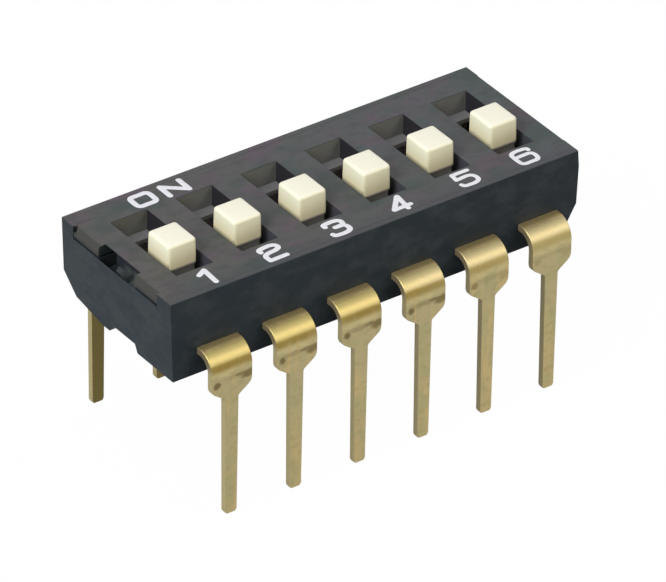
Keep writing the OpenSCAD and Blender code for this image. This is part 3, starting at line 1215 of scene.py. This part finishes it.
@dataclass
class Contacts:
    """The six bridge contacts, which keep their solids."""

    finish: GoldPlate = GoldPlate("gold_contact", Polish.FLAT)

    def build(self) -> None:
        """Dresses the contacts."""
        material = self.finish.make()
        for number in SWITCHES:
            dress(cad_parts[f"contact_{number}"], material)
        log.info("contacts dressed")


CORNER_CUTS = 3


def softened(points: Sequence[Point]) -> list[Vector]:
    """Rounds the corners of a path by cutting them again and again.

    Args:
        points: The path's points, of which the two ends stay.

    Returns:
        The rounded path.
    """
    path = [Vector(point) for point in points]
    for _ in range(CORNER_CUTS if len(path) > 2 else 0):
        cut = [path[0]]
        for here, there in zip(path, path[1:]):
            cut += [here.lerp(there, 0.25), here.lerp(there, 0.75)]
        path = [*cut, path[-1]]
    return path


@dataclass(frozen=True)
class Sign:
    """One printed sign: its middle on the cover, half its line's width, and its strokes about the middle."""

    middle: Point
    half: float
    strokes: list[list[Point]]


@dataclass
class Legend:
    """The printed word ON and the numbers, each drawn as rounded strokes of ink."""

    face_z: float = TOP_Z
    film: float = 0.008
    end_rings: tuple[float, ...] = (0.38, 0.71, 0.92, 0.995)
    smooth_deg: float = 40
    finish: PrintInk = PrintInk()

    def signs(self) -> dict[str, Sign]:
        """Lists the eight signs, with the control points of each stroke.

        Returns:
            The signs by the names of their pieces.
        """
        one = [[(-0.21, 0.2), (0.08, 0.36)], [(0.09, 0.37), (0.045, -0.38)]]
        two = [
            [(-0.32, 0.19), (-0.33, 0.36), (0.31, 0.4), (0.36, 0.06), (-0.34, 0.03), (-0.32, -0.36)],
            [(-0.32, -0.36), (0.32, -0.35)],
        ]
        three = [
            [(-0.3, 0.22), (-0.31, 0.37), (0.32, 0.38), (0.33, 0.04), (-0.03, 0.03)],
            [(0.05, 0.03), (0.35, 0.02), (0.35, -0.39), (-0.31, -0.39), (-0.33, -0.26)],
        ]
        four = [[(0.18, 0.37), (-0.34, -0.23)], [(-0.34, -0.23), (0.31, -0.21)]]
        four += [[(0.2, 0.38), (0.11, -0.37)]]
        five = [
            [(0.32, 0.38), (-0.29, 0.38)],
            [(-0.28, 0.37), (-0.32, 0.07)],
            [(-0.32, 0.07), (0.33, 0.13), (0.36, -0.37), (-0.3, -0.38), (-0.34, -0.24)],
        ]
        hook = [(0.33, 0.26), (0.33, 0.38), (-0.33, 0.4), (-0.36, 0.0), (-0.34, -0.38), (0.0, -0.37)]
        six = [hook + [(0.34, -0.38), (0.36, 0.08), (0.0, 0.08), (-0.3, 0.07)]]
        ring = [(0.0, 0.3), (-0.35, 0.31), (-0.37, 0.0), (-0.35, -0.31), (0.0, -0.3)]
        big_o = [ring, [(-x, y) for x, y in ring]]
        big_n = [[(-0.37, -0.3), (-0.37, 0.31)], [(-0.37, 0.31), (0.38, -0.3)], [(0.38, -0.3), (0.38, 0.32)]]
        return {
            "number_1": Sign((-6.145, -2.39), 0.094, one),
            "number_2": Sign((-3.66, -2.41), 0.093, two),
            "number_3": Sign((-1.13, -2.39), 0.094, three),
            "number_4": Sign((1.345, -2.37), 0.09, four),
            "number_5": Sign((4.015, -2.365), 0.082, five),
            "number_6": Sign((6.375, -2.38), 0.082, six),
            "letter_o": Sign((-5.33, 2.465), 0.1, big_o),
            "letter_n": Sign((-4.11, 2.46), 0.1, big_n),
        }

    def _stroke(self, path: Sequence[Vector], sign: Sign) -> bpy.types.Object:
        """One stroke with round ends: a bevelled curve made a mesh and pressed flat.

        Args:
            path: Its points about the sign's middle.
            sign: The sign it belongs to.

        Returns:
            The stroke on the cover's top face.
        """
        half = sign.half
        curve = bpy.data.curves.new("stroke", "CURVE")
        curve.dimensions = "3D"
        curve.bevel_depth = half * MM
        curve.bevel_resolution = 2
        curve.use_fill_caps = True
        head, tail = (path[0] - path[1]).normalized(), (path[-1] - path[-2]).normalized()
        before, after = [], []
        for share in self.end_rings:
            size = math.sqrt(1 - share * share)
            before.insert(0, (path[0] + head * half * share, size))
            after.append((path[-1] + tail * half * share, size))
        whole = before + [(place, 1.0) for place in path] + after
        spline = curve.splines.new("POLY")
        spline.points.add(len(whole) - 1)
        for knot, (place, size) in zip(spline.points, whole):
            knot.co = ((sign.middle[0] + place.x) * MM, (sign.middle[1] + place.y) * MM, 0.0, 1.0)
            knot.radius = size
        obj = bpy.data.objects.new("stroke", curve)
        bpy.context.collection.objects.link(obj)
        choose(obj)
        bpy.ops.object.convert(target="MESH")
        work = Workpiece(bpy.context.object)
        bpy.ops.mesh.select_all(action="SELECT")
        work.scale(1, 1, self.film / half, (0, 0, 0))
        bpy.ops.transform.translate(value=(0, 0, self.face_z * MM))
        return work.close()

    def build(self) -> None:
        """Draws every sign as one piece of print."""
        material = self.finish.make()
        for name, sign in self.signs().items():
            parts = [self._stroke(softened(points), sign) for points in sign.strokes]
            piece = join(parts, name)
            finish_piece(piece, self.smooth_deg)
            dress(piece, material)
            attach(piece, "housing")
        log.info("legend printed")


# ---- studio


@dataclass(frozen=True)
class Lamp:
    """A square soft lamp: where it hangs, its side, its power in watts and its colour."""

    name: str
    place_m: Triple
    size_m: float
    watts: float
    colour: Colour

    def hang(self, aim_m: Triple) -> None:
        """Adds the lamp to the scene.

        Args:
            aim_m: The place that it faces.
        """
        data = bpy.data.lights.new(self.name, "AREA")
        data.shape = "SQUARE"
        data.size = self.size_m
        data.energy = self.watts
        data.color = self.colour
        obj = bpy.data.objects.new(self.name, data)
        obj.location = self.place_m
        aim = Vector(aim_m) - Vector(self.place_m)
        obj.rotation_euler = aim.to_track_quat("-Z", "Y").to_euler()
        bpy.context.collection.objects.link(obj)


@dataclass
class Studio:
    """Pale floor, soft lamps and the camera."""

    distance: float = 280.0
    azimuth_deg: float = 35.896
    elevation_deg: float = 33.659
    roll_deg: float = 0.909
    lens: float = 468.14
    sensor: float = 36.0
    clip_m: Span = (0.01, 20.0)
    aim: Triple = (-0.8043, -1.7955, TOP_Z - 2.8925)
    sky_strength: float = 0.3
    floor_m: float = 6.0
    floor_z_m: float = -0.00002
    floor_glow: float = 0.985
    paper: Colour = (0.45, 0.45, 0.45)
    seen_paper: Colour = (0.9, 0.9, 0.9)
    lamp_aim_m: Triple = (0.0, 0.0, 0.006)
    lamps: tuple[Lamp, ...] = (
        Lamp("key", (-0.06, 0.02, 0.42), 0.3, 0.4, (1.0, 0.995, 0.98)),
        Lamp("left", (-0.34, -0.09, 0.28), 0.22, 1.4, (1.0, 0.995, 0.955)),
        Lamp("front", (0.2, -0.28, 0.28), 0.2, 0.44, (1.0, 0.915, 0.84)),
    )

    def camera(self) -> None:
        """Places the camera on its line of sight."""
        azimuth, elevation = math.radians(self.azimuth_deg), math.radians(self.elevation_deg)
        roll = math.radians(self.roll_deg)
        level_share = math.cos(elevation)
        back = Vector(
            (-math.sin(azimuth) * level_share, -math.cos(azimuth) * level_share, math.sin(elevation))
        )
        level = Vector((math.cos(azimuth), -math.sin(azimuth), 0))
        upright = back.cross(level)
        right = level * math.cos(roll) + upright * math.sin(roll)
        up = upright * math.cos(roll) - level * math.sin(roll)
        data = bpy.data.cameras.new("camera")
        data.lens = self.lens
        data.sensor_width = self.sensor
        data.clip_start, data.clip_end = self.clip_m
        obj = bpy.data.objects.new("camera", data)
        bpy.context.collection.objects.link(obj)
        turn = Matrix((right, up, back)).transposed().to_4x4()
        place = (Vector(self.aim) + back * self.distance) * MM
        obj.matrix_world = Matrix.Translation(place) @ turn
        bpy.context.scene.camera = obj

    def floor(self) -> None:
        """Lays a pale floor that looks white and keeps a faint shadow."""
        bpy.ops.object.select_all(action="DESELECT")
        bpy.ops.mesh.primitive_plane_add(size=self.floor_m, location=(0, 0, self.floor_z_m))
        obj = bpy.context.object
        obj.name = "floor"
        graph = Graph(bpy.data.materials.new("floor_paper"))
        shown = graph.in_view()
        paper = graph.mix(shown, self.paper, self.seen_paper)
        matt = graph.node("ShaderNodeBsdfDiffuse", values={"Color": paper})
        glow = graph.node("ShaderNodeEmission", values={"Color": WHITE, "Strength": 1.0})
        both = graph.node("ShaderNodeMixShader", values={0: shown * self.floor_glow, 1: matt, 2: glow})
        graph.node("ShaderNodeOutputMaterial", values={"Surface": both})
        dress(obj, graph.owner)

    def sky(self) -> None:
        """Fills the world with plain light, and shows it white behind the switch."""
        world = bpy.data.worlds.new("studio")
        bpy.context.scene.world = world
        graph = Graph(world)
        soft = graph.node("ShaderNodeBackground", values={"Strength": self.sky_strength})
        white = graph.node("ShaderNodeBackground", values={"Color": WHITE, "Strength": 1.0})
        both = graph.node("ShaderNodeMixShader", values={0: graph.in_view(), 1: soft, 2: white})
        graph.node("ShaderNodeOutputWorld", values={"Surface": both})

    def build(self) -> None:
        """Sets up the view, the lamps and the floor."""
        bpy.context.scene.view_settings.view_transform = "Standard"
        self.camera()
        self.floor()
        self.sky()
        for lamp in self.lamps:
            lamp.hang(self.lamp_aim_m)
        log.info("studio ready")


def main() -> None:
    """Builds the switch's looks."""
    logging.basicConfig(level=logging.INFO, format="%(name)s: %(message)s")
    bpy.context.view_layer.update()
    Studio().build()
    Housing().build()
    Contacts().build()
    Actuators().build()
    Terminals().build()
    Legend().build()


if __name__ == "__main__":
    main()
